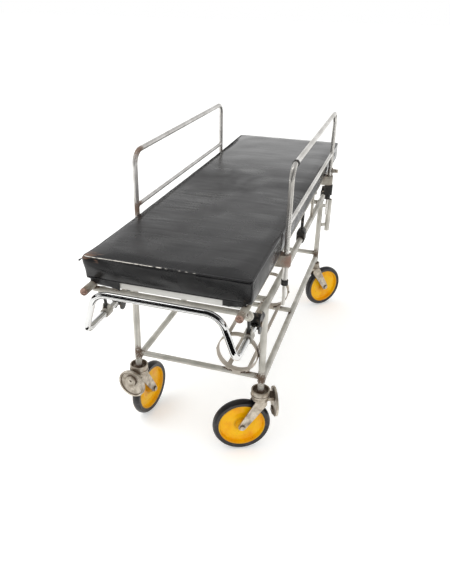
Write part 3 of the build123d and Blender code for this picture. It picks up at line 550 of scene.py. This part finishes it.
rough = add(tree, "MapRange", {"Value": dull, "From Min": 0.45, "From Max": 0.95,
                               "To Min": 0.20, "To Max": 0.475})
ragged = add(tree, "Math", {"operation": "MULTIPLY_ADD", 0: rubs, 1: 0.5, 2: along_pad})
far_end = add(tree, "MapRange", {"Value": ragged, "From Min": gloss_start, "From Max": gloss_full})
glossy = add(tree, "Mix", {0: far_end, 2: rough, 3: 0.15})
fold_relief = add(tree, "Bump", {"Strength": 0.13, "Distance": 0.003, "Height": wrinkles})
grain_relief = add(tree, "Bump", {"Strength": 0.10, "Distance": 0.0006,
                                  "Height": pores, "Normal": fold_relief})
plug(tree, shader, Base_Color=colour, Roughness=glossy, IOR=1.53, Normal=grain_relief)
finishes["vinyl"] = vinyl
print("vinyl ready")

# %% [markdown]
# ## Dress the CAD pieces
# Every CAD piece names the slot it takes its finish from, so dressing them is one loop. Four
# pieces differ from their slot: the left cot side and both poles have gone browner. The cast and
# pressed pieces come from CAD with knife edges, which no real casting has. A Weld modifier joins
# the split vertices of the import, and a Bevel then rounds the edges; the mesh stays as it was.

# %% Dress the CAD pieces
slot_of = {part["node"]: part["material_slot"] for part in frame["record"]["subparts"]}
own_finish = {"cot_frame_left": left_chrome, "cot_lower_bar_left": left_chrome,
              "pole_left": pole_paint, "pole_right": pole_paint}
for name, piece in nodes.items():
    piece.material_slots[0].material = own_finish.get(name, finishes[slot_of[name]])

edge_rounds = {            # millimetres, by the start of the piece's name
    "cot_sockets": 1.6, "handle_brackets": 2.2, "middle_rests": 1.8, "castor_fork": 1.4,
    "brake_pedal": 1.2, "castor_heads": 1.6, "handle_collars": 1.0, "deck_board": 1.5,
    "deck_end_strips": 0.7, "cradle_bars": 0.7, "cylinder_ring": 0.7, "axle": 0.8, "handle_bolts": 0.9,
}
rounded = 0
for name, piece in nodes.items():
    for start, width in edge_rounds.items():
        if name.startswith(start):
            weld = piece.modifiers.new("join_split_edges", "WELD")
            weld.merge_threshold = 0.00001
            bevel = piece.modifiers.new("soft_edges", "BEVEL")
            bevel.width = width / 1000
            bevel.segments = 2
            bevel.limit_method = "ANGLE"
            bevel.angle_limit = math.radians(40)
            bevel.harden_normals = True
            rounded += 1
print("dressed", len(nodes), "pieces,", rounded, "with soft edges")

# %% [markdown]
# ## The mattress
# A foam slab in a sewn vinyl cover: flat on the deck, a little fuller in the middle, its sides
# pulled in between piped edges. Modelling that by hand gives a box with round corners. Instead a
# slightly small block of even squares is blown up as cloth, held along its seams, so that the
# panels swell as sewn covers do. How far a point may move is capped, because foam is firm.

# %% Mattress block
low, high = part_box("mattress")
deck_top = low.z
pad_half = Vector((high.x, high.y, 0))
crown = 0.006             # how far the middle of the top stands above its seams
seam_top = high.z - crown
draw_in = 0.004
pad_start_inset = 0.001
pad_cell = 0.0125
swell_limit = 0.006


def drawn_in(y):
    """How far the sides are pulled in at a place along the mattress."""
    return draw_in * (1 - (y / pad_half.y) ** 2)


def even_block(name, start, end):
    """A closed block whose six faces are even grids that share their edge points."""
    size = end - start
    counts = [max(1, round(length / pad_cell)) for length in size]
    index, verts, faces = {}, [], []

    def corner_at(cell):
        if cell not in index:
            index[cell] = len(verts)
            verts.append(start + Vector([size[k] * cell[k] / counts[k] for k in range(3)]))
        return index[cell]

    for axis in range(3):
        u, v = (axis + 1) % 3, (axis + 2) % 3
        for level in (0, counts[axis]):
            for i in range(counts[u]):
                for j in range(counts[v]):
                    ring = []
                    for du, dv in ((0, 0), (1, 0), (1, 1), (0, 1)):
                        cell = [0, 0, 0]
                        cell[axis], cell[u], cell[v] = level, i + du, j + dv
                        ring.append(corner_at(tuple(cell)))
                    faces.append(ring if level else ring[::-1])
    mesh = bpy.data.meshes.new(name)
    mesh.from_pydata(verts, [], faces)
    return mesh


inset = Vector((pad_start_inset, pad_start_inset, 0))
pad_mesh = even_block("mattress_pad", Vector((-high.x, -high.y, deck_top)) + inset,
                      Vector((high.x, high.y, seam_top)) - inset)
for vertex in pad_mesh.vertices:
    vertex.co.x *= 1 - drawn_in(vertex.co.y) / pad_half.x
pad = bpy.data.objects.new("mattress_pad", pad_mesh)
scene.collection.objects.link(pad)
print("mattress block:", len(pad_mesh.vertices), "points")

# %% Blow the cover up as cloth
seam_reach = 0.006
swell_frames = 20


def beside_seam(point):
    """True near a sewn edge, where two of the pad's faces meet."""
    sides = (pad_half.x - drawn_in(point.y) - abs(point.x), pad_half.y - abs(point.y),
             min(point.z - deck_top, seam_top - point.z))
    return sum(gap < seam_reach for gap in sides) > 1


def swell(cover):
    """Cloth under pressure, held at the seams, with every point's movement capped."""
    start = [vertex.co.copy() for vertex in cover.data.vertices]
    held = cover.vertex_groups.new(name="seams")
    held.add([i for i, point in enumerate(start) if beside_seam(point)], 1.0, "REPLACE")
    cloth = cover.modifiers.new("cover", "CLOTH")
    cloth.settings.quality = 3
    cloth.settings.use_pressure = True
    cloth.settings.uniform_pressure_force = 4.0
    cloth.settings.vertex_group_mass = held.name
    cloth.settings.effector_weights.gravity = 0.0
    for moment in range(1, swell_frames + 1):
        scene.frame_set(moment)
    blown = cover.evaluated_get(bpy.context.evaluated_depsgraph_get())
    moved = [vertex.co.copy() for vertex in blown.data.vertices]
    cover.modifiers.clear()
    scene.frame_set(1)
    for vertex, first, last in zip(cover.data.vertices, start, moved):
        step = last - first
        if step.length > swell_limit:
            step.length = swell_limit
        vertex.co = first + step
    cover.vertex_groups.clear()


swell(pad)
print("mattress after swelling:", [round(value, 4) for value in pad.dimensions])

# %% [markdown]
# Wrinkles come after the simulation. A subdivision first gives enough points. The foam under the
# top has set in soft lumps a hand wide, and in some places the cover has crept into folds from
# side to side: noise that is stretched across the width, let through only where a second noise is
# high. The long edges have rounded over, less and less towards the ends. The front end has softer
# buckles, and its left corner has been pulled out to an ear. The underside is pressed flat.

# %% Lumps, folds and buckles
lump_height, lump_rate = 0.0013, 9.0          # a rate is in waves per metre
fold_depth, fold_rate, fold_wander = 0.0009, 36.0, 0.03
buckle_depth, torn_buckle_depth, torn_buckle_reach = 0.0014, 0.0035, 0.30
buckle_rates, buckle_slant = (9.0, 5.0, 22.0), 14.0
edge_width = 0.034        # how far in from the long sides the top has rounded over
edge_drop = 0.0035
edge_fade = 0.40          # towards the ends the edge is still square
ear_reach = 0.09
ear_pull = Vector((-0.0075, -0.001, 0.001))
top_slope = 0.6           # a normal steeper than this belongs to the top or the underside
flat_below = 0.004        # points this near the deck are pressed flat


def subdivided(piece, levels):
    """The piece's mesh after a number of smooth subdivisions."""
    finer = piece.modifiers.new("finer", "SUBSURF")
    finer.levels = levels
    finer.render_levels = levels
    seen = piece.evaluated_get(bpy.context.evaluated_depsgraph_get())
    mesh = bpy.data.meshes.new_from_object(seen)
    piece.modifiers.clear()
    return mesh


def waves(point, across, along, layer):
    """Smooth noise over the pad, at a rate across it and a rate along it."""
    return noise.noise(Vector((point.x * across, point.y * along, layer)))


def top_relief(point):
    """Soft lumps, with folds across the pad where the cover has crept."""
    lumps = waves(point, across=lump_rate, along=lump_rate, layer=2.0)
    crept = max(0.0, waves(point, across=3.0, along=2.4, layer=6.0) - 0.05)
    wander = waves(point, across=5.0, along=3.0, layer=4.0)
    fold = noise.noise(Vector((point.x * 3.0 + 7.0, (point.y + fold_wander * wander) * fold_rate, 1.5)))
    return lump_height * lumps - fold_depth * crept * max(0.0, 1 - abs(fold) * 3)


def side_relief(point):
    """Soft buckles on the ends and sides, stronger at the torn corner."""
    x, y, z = (value * rate for value, rate in zip(point, buckle_rates))
    buckle = noise.noise(Vector((x + point.z * buckle_slant, y, z)))
    pull = max(0.0, 1 - (point - torn_corner).length / torn_buckle_reach)
    return buckle * (buckle_depth + torn_buckle_depth * pull)


def edge_fall(point):
    """How far a point has sunk where the long edges have rounded over."""
    beside = pad_half.x - drawn_in(point.y) - abs(point.x)
    from_end = min(1.0, max(0.0, (pad_half.y - abs(point.y)) / edge_fade))
    share = min(1.0, max(0.0, 1 - beside / edge_width))
    height = (point.z - deck_top) / (seam_top - deck_top)
    return edge_drop * share ** 2 * from_end ** 2 * (3 - 2 * from_end) * height


def ear_shift(point):
    """How far a point has moved with the ear at the torn corner."""
    return ear_pull * max(0.0, 1 - (point - torn_corner).length / ear_reach) ** 2


pad.data = subdivided(pad, levels=1)
pad.data.update()
facings = [vertex.normal.copy() for vertex in pad.data.vertices]
for vertex, facing in zip(pad.data.vertices, facings):
    point = vertex.co.copy()
    if facing.z > top_slope:
        vertex.co = point + facing * top_relief(point)
    elif facing.z > -top_slope:
        vertex.co = point + facing * side_relief(point)
    if point.z < deck_top + flat_below and facing.z < 0:
        vertex.co.z = deck_top
    vertex.co += ear_shift(point)
    vertex.co.z = max(vertex.co.z - edge_fall(point), deck_top)
for polygon in pad.data.polygons:
    polygon.use_smooth = True
pad.data.materials.clear()
pad.data.materials.append(vinyl)
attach(pad, "base")
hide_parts("mattress")
print("mattress:", len(pad.data.vertices), "points,", [round(value, 4) for value in pad.dimensions])

# %% [markdown]
# ## Tubes that follow a line
# Piping and weld beads are both a round bar bent along a path. Blender's curve bevel can do that,
# but a mesh made here lets each ring of points have its own thickness, which a hand-laid weld
# needs. The frame of each ring is carried along the path, so the tube doesn't twist.

# %% Round bars along a path
def round_bar(points, radii, closed, sides=8):
    """Points and faces of a bar along a path, capped at the ends when it is open."""
    count = len(points)
    verts, faces = [], []
    before = None
    for i, point in enumerate(points):
        ahead = points[(i + 1) % count] if closed or i + 1 < count else point
        behind = points[i - 1] if closed or i else point
        along = (ahead - behind).normalized()
        if before is None:
            before = along.orthogonal()
        side = (before - along * before.dot(along)).normalized()
        before = side
        other = along.cross(side)
        for k in range(sides):
            angle = 2 * math.pi * k / sides
            verts.append(point + (side * math.cos(angle) + other * math.sin(angle)) * radii[i])
    for i in range(count if closed else count - 1):
        a, b = i * sides, ((i + 1) % count) * sides
        shift = 0
        if closed and i == count - 1:     # the last ring is matched to the first
            shift = min(range(sides), key=lambda k: (verts[a] - verts[k]).length)
        for k in range(sides):
            n = (k + 1) % sides
            faces.append((a + k, a + n, b + (n + shift) % sides, b + (k + shift) % sides))
    if not closed:
        faces.append(tuple(reversed(range(sides))))
        faces.append(tuple(range((count - 1) * sides, count * sides)))
    return verts, faces


def smooth_piece(name, verts, faces, finish):
    """A smooth piece in the scene, with one finish."""
    mesh = bpy.data.meshes.new(name)
    mesh.from_pydata(verts, [], faces)
    for polygon in mesh.polygons:
        polygon.use_smooth = True
    mesh.materials.append(finish)
    piece = bpy.data.objects.new(name, mesh)
    scene.collection.objects.link(piece)
    return piece


def bars_piece(name, bars, finish, body):
    """One piece made of several bars, riding on a body."""
    verts, faces = [], []
    for some_verts, some_faces in bars:
        first = len(verts)
        verts += some_verts
        faces += [tuple(first + i for i in face) for face in some_faces]
    piece = smooth_piece(name, verts, faces, finish)
    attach(piece, body)
    print(f"{name}: {len(bars)} bars, {len(verts)} points")


print("round bars ready")

# %% [markdown]
# ## Piping
# The cover's panels are joined over a cord in a vinyl strip, which makes the crisp line round the
# top and bottom. On the front edge the cord is pale along its crest, which faces up and forward,
# but not as far as the right corner. That pale line is partly vinyl worn through to pale thread and
# partly a painted highlight. The dot product of the surface's normal with the crest's direction
# finds that line. The cord follows a rectangle with small round corners whose long sides are pulled
# in with the cover's. At the torn corner a loose end hangs out.

# %% Piping
piping_radius = 0.0030
piping_inset = 0.0033
piping_cell = 0.02
piping_wander, wander_rate = 0.0008, 18
corner_radius, corner_steps = 0.014, 8
crest = (0, -0.6, 0.8)
pale_where = (                    # axis, start of the pale line, where it is full, strength
    ("Y", -0.905, -0.911, 1.0),   # only the front edge
    ("Z", 0.86, 0.87, 1.0),       # only the upper cord
    ("X", 0.20, -0.04, 0.5),      # stronger away from the right corner
    ("X", -0.289, -0.285, 1.0),   # not the loose end
)
loose_end = (                     # millimetres from the torn corner, and the radius there
    (-3, -1, -8, 1.7), (-7, -2, -11, 1.8), (-9, -3, -13, 2.8), (-12, -4, -15, 3.3),
    (-14, -4, -17, 2.2),
)

thread_and_highlight_piping, tree, shader = new_material("piping_thread_and_painted_highlight")
place = add(tree, "TexCoord", {}).outputs["Object"]
frays = add(tree, "TexNoise", {"Vector": place, "Scale": per_mm(14), "Detail": 5.0})
parts = add(tree, "SeparateXYZ", {"Vector": place})
outward = add(tree, "VectorMath", {"operation": "DOT_PRODUCT", 1: crest,
                                   0: add(tree, "NewGeometry", {}).outputs["Normal"]})
# the pale crest: partly vinyl worn through to thread, partly a painted highlight
pale_crest = add(tree, "MapRange", {"Value": outward, "From Min": 0.74, "From Max": 0.96})
for axis, start, full, most in pale_where:
    share = add(tree, "MapRange", {"Value": parts.outputs[axis], "From Min": start, "From Max": full,
                                   "To Max": most})
    pale_crest = add(tree, "Math", {"operation": "MULTIPLY", 0: pale_crest, 1: share})
pale_crest = add(tree, "Math", {"operation": "ADD", 0: pale_crest, 1: frays})
# the pale line, where thread shows and where a highlight is painted
worn = add(tree, "MapRange", {"Value": pale_crest, "From Min": 0.82, "From Max": 0.95})
black = add(tree, "Mix", {"data_type": "RGBA", 0: frays, 6: linear("#111112"), 7: linear("#232223")})
colour = add(tree, "Mix", {"data_type": "RGBA", 0: worn, 6: black, 7: linear("#d2cdc4")})
rough = add(tree, "MapRange", {"Value": worn, "To Min": 0.35, "To Max": 0.9})
twist = add(tree, "Bump", {"Strength": 0.2, "Distance": 0.0006, "Height": frays})
plug(tree, shader, Base_Color=colour, Roughness=rough, IOR=1.53, Normal=twist)


def piping_line(z):
    """The closed line of a piped edge at a height."""
    x, y = pad_half.x - piping_inset, pad_half.y - piping_inset
    line = []
    for quarter, (sx, sy) in enumerate(((1, 1), (-1, 1), (-1, -1), (1, -1))):
        middle = Vector((sx * (x - corner_radius), sy * (y - corner_radius), z))
        for step in range(corner_steps + 1):
            angle = math.radians(90 * quarter + 90 * step / corner_steps)
            line.append(middle + Vector((math.cos(angle), math.sin(angle), 0)) * corner_radius)
    closed = []
    for i, point in enumerate(line):
        after = line[(i + 1) % len(line)]
        pieces = max(1, round((after - point).length / piping_cell))
        closed += [point.lerp(after, k / pieces) for k in range(pieces)]
    for point in closed:
        point.x *= 1 - drawn_in(point.y) / pad_half.x
        point.z += piping_wander * noise.noise(point * wander_rate) - edge_fall(point)
        point += ear_shift(point)
    return closed


piping_bars = []
for z in (seam_top - piping_inset, deck_top + piping_radius):
    line = piping_line(z)
    piping_bars.append(round_bar(line, [piping_radius] * len(line), True))
tail = [torn_corner + Vector(step[:3]) / 1000 for step in loose_end]
piping_bars.append(round_bar(tail, [step[3] / 1000 for step in loose_end], False))
bars_piece("mattress_piping", piping_bars, thread_and_highlight_piping, "base")

# %% [markdown]
# ## Loose hems
# At both front corners the cover's hem has come away and hangs over the deck's light strip. Each
# hem is a small grid of points with a wavy lower edge, given its thickness by a Solidify modifier.

# %% Hems
hem_top = deck_top + 0.006
hem_front = -pad_half.y + 0.0018
hem_columns, hem_rows = 24, 8
hem_thickness = 0.0012
hem_lean = 0.001
hem_ragged, ragged_rate = 0.004, 60
hem_wave, wave_rate = 0.0014, 70


def hem(name, x_start, x_end, drop_start, drop_end):
    """A strip of vinyl that hangs from the front's lower edge, with a drop at each end."""
    verts, faces = [], []
    for i in range(hem_columns + 1):
        share = i / hem_columns
        x = x_start + (x_end - x_start) * share
        drop = drop_start + (drop_end - drop_start) * share
        drop += hem_ragged * noise.noise(Vector((x * ragged_rate, 3.0, 0.0)))
        for j in range(hem_rows + 1):
            down = j / hem_rows
            wave = hem_wave * down * noise.noise(Vector((x * wave_rate, down * 2.0, 8.0)))
            verts.append((x, hem_front + hem_lean * down + wave, hem_top - drop * down))
    for i in range(hem_columns):
        for j in range(hem_rows):
            a = i * (hem_rows + 1) + j
            faces.append((a, a + 1, a + hem_rows + 2, a + hem_rows + 1))
    piece = smooth_piece(name, verts, faces, vinyl)
    thick = piece.modifiers.new("vinyl_thickness", "SOLIDIFY")
    thick.thickness = hem_thickness
    thick.offset = 0.0
    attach(piece, "base")
    print(f"{name}: {x_end - x_start:.3f} m wide")


hem("hem_left", x_start=-0.262, x_end=-0.158, drop_start=0.018, drop_end=0.032)
hem("hem_right", x_start=0.187, x_end=0.262, drop_start=0.024, drop_end=0.018)

# %% [markdown]
# ## Weld beads
# Where one tube is coped to another, the joint is closed with a bead of weld. Seen from a step
# away it is the soft ring that keeps a tube from looking pushed into its neighbour. The line of a
# tube that meets a tube is a saddle: for each angle round the branch, the height over the other
# tube's axis comes from the circle of that tube. The thickness wanders, as a hand-laid bead does.

# %% Weld beads
bead_radius = 0.0024
bead_steps = 28
tube_r, cross_r, post_r, lower_bar_r, pillar_r = 0.0127, 0.0111, 0.0095, 0.008, 0.007
shaker = random.Random(7)


def saddle_bead(middle, branch, main, branch_r, main_r):
    """A bead round a tube along branch, where it meets a tube along main whose axis has middle."""
    out, along = Vector(branch), Vector(main)
    aside = out.cross(along)
    points, radii = [], []
    for step in range(bead_steps):
        angle = 2 * math.pi * step / bead_steps
        sideways = branch_r * math.sin(angle)
        rise = math.sqrt(max(0.0, main_r ** 2 - sideways ** 2))
        on_main = Vector(middle) + along * branch_r * math.cos(angle)
        points.append(on_main + aside * sideways + out * rise)
        radii.append(bead_radius * shaker.uniform(0.75, 1.2))
    return round_bar(points, radii, True, sides=6)


base_beads = []
for sx, sy in four_ways:
    x, y = sx * leg_x, sy * leg_y
    base_beads += [
        saddle_bead((x, y, upper_rail_z), (0, 0, -1), (0, 1, 0), tube_r, tube_r),
        saddle_bead((x, y, lower_rail_z), (0, -sy, 0), (0, 0, 1), tube_r, tube_r),
        saddle_bead((x, y, low_cross_z), (-sx, 0, 0), (0, 0, 1), cross_r, tube_r),
        saddle_bead((x, sy * upper_cross_y, upper_rail_z), (-sx, 0, 0), (0, 1, 0), cross_r, tube_r),
    ]
for sx, sy in four_ways:
    y = sy * pillar_y
    base_beads += [
        saddle_bead((sx * leg_x, y, upper_rail_z), (0, 0, 1), (0, 1, 0), pillar_r, tube_r),
        saddle_bead((sx * pole_x, y, pole_z), (0, 0, -1), (0, 1, 0), pillar_r, tube_r),
    ]
bars_piece("frame_welds", base_beads, finishes["frame_paint"], "base")
for side, sx, finish in (("left", -1, left_chrome), ("right", 1, finishes["satin_chrome"])):
    beads = [saddle_bead((sx * cot_x, y, cot_bar_z), (0, way, 0), (0, 0, 1), lower_bar_r, post_r)
             for y, way in ((cot_front_y, 1), (cot_rear_y, -1))]
    bars_piece(f"cot_welds_{side}", beads, finish, f"cot_side_{side}")

# %% [markdown]
# ## Ring screws
# Each ring that holds a gas cylinder has two round-headed screws, at its left and right. A short
# bar with a falling radius makes the head.

# %% Ring screws
screw_rises = (0.0, 2.0, 3.4, 4.3, 4.7)       # millimetres
screw_radii = (5.5, 5.5, 4.7, 3.2, 1.0)
ring_x, ring_z, ring_r = 0.159, 0.4229, 0.0798
screws = []
for ring_y in (-0.613, -0.072):
    for way in (-1, 1):
        rim = Vector((ring_x + way * ring_r, ring_y, ring_z))
        line = [rim + Vector((way * rise / 1000, 0, 0)) for rise in screw_rises]
        screws.append(round_bar(line, [radius / 1000 for radius in screw_radii], False, sides=12))
bars_piece("ring_screws", screws, finishes["zinc_plate"], "base")

# %% [markdown]
# ## Finish
# The dressed trolley has to stay the size of the CAD model.

# %% End
print("trolley dressed")
